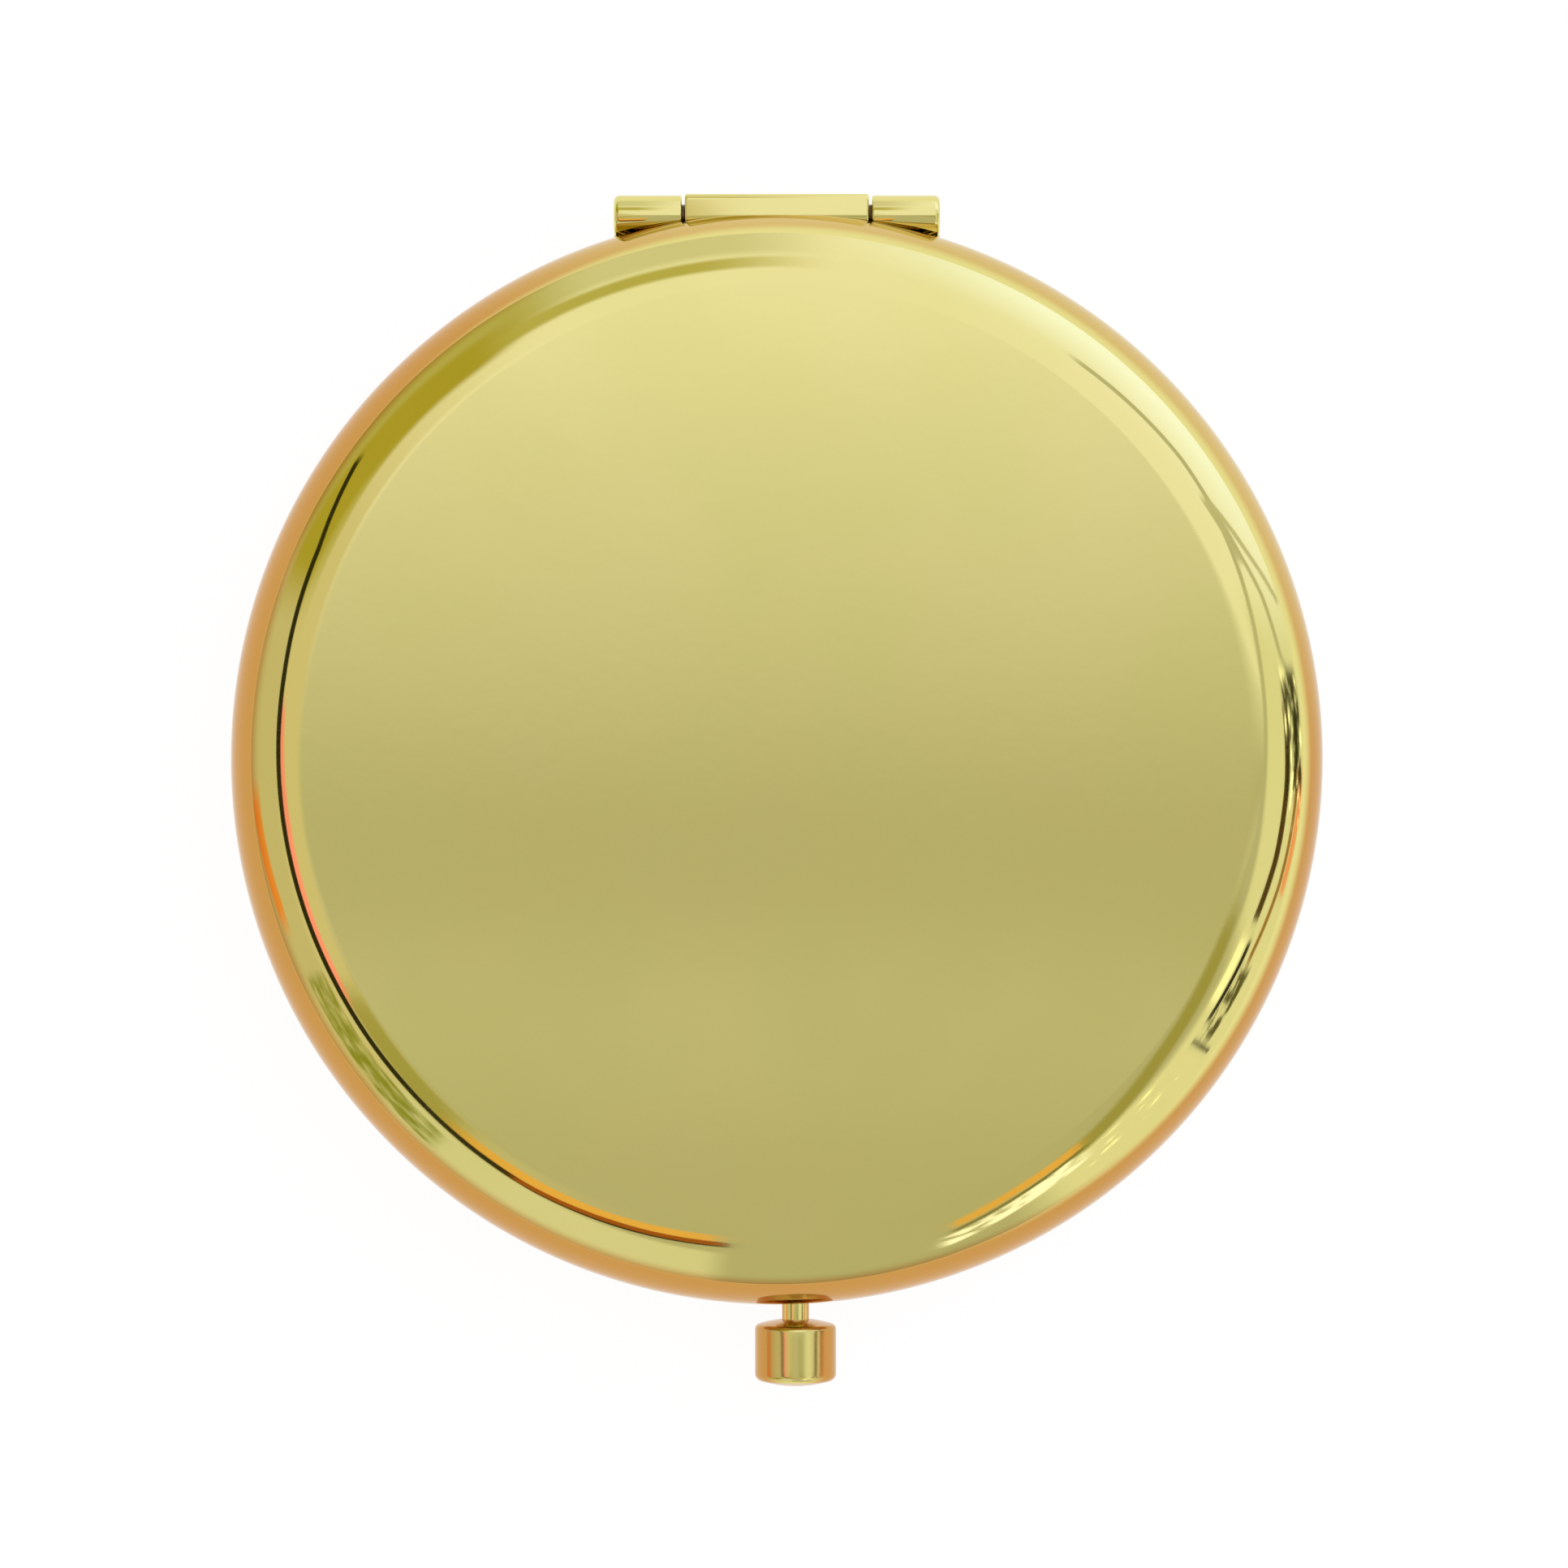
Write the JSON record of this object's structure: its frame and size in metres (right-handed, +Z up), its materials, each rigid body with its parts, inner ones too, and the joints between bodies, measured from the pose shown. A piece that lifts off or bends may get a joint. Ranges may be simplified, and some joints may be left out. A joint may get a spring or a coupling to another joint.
{
  "type": "compact mirror",
  "caption": "Slim round metal compact mirror whose hinged lid opens flat when the push button at its front edge is pressed, with a mirror in each half.",
  "frame": {"origin": "middle of the base's flat underside, on the axis of the round case", "axes": "+Z up through the closed lid, +Y towards the hinge, -Y towards the push button"},
  "size_m": [0.07, 0.0766, 0.0105],
  "materials": {
    "gold_plate": "polished pale gold plate",
    "gold_tray": "satin pale gold plate",
    "steel": "plain bright steel",
    "mirror_glass": "silvered glass with a bevelled edge",
    "mirror_foam": "white adhesive foam"
  },
  "bodies": {
    "base": {"base_shell": "gold_plate", "base_tray": "gold_tray", "base_mirror": "mirror_glass", "base_mirror_pad": "mirror_foam", "base_hinge_leaf": "gold_plate", "base_hinge_rivets": "steel", "hinge_pin": "steel", "stem_bush": "gold_plate", "latch_guide": "steel", "latch_guide_rivets": "steel", "latch_spring": "steel"},
    "lid": {"lid_shell": "gold_plate", "lid_tray": "gold_tray", "lid_mirror": "mirror_glass", "lid_mirror_pad": "mirror_foam", "lid_hinge_leaf": "gold_plate", "lid_hinge_rivets": "steel", "catch_plate": "steel", "catch_plate_rivets": "steel"},
    "button": {"button_cap": "gold_plate", "button_stem": "gold_plate", "latch_slider": "steel"}
  },
  "joints": [
    {"name": "lid_hinge", "type": "hinge", "parent": "base", "child": "lid", "pos_m": [0, 0.0348, 0.00525], "axis": [-1, 0, 0], "range_deg": [0, 180]},
    {"name": "button_press", "type": "slide", "parent": "base", "child": "button", "axis": [0, 1, 0], "range_m": [0, 0.0009], "stiffness_N_per_m": 1200, "springref_m": -0.0008, "deforming": ["latch_spring"]}
  ]
}
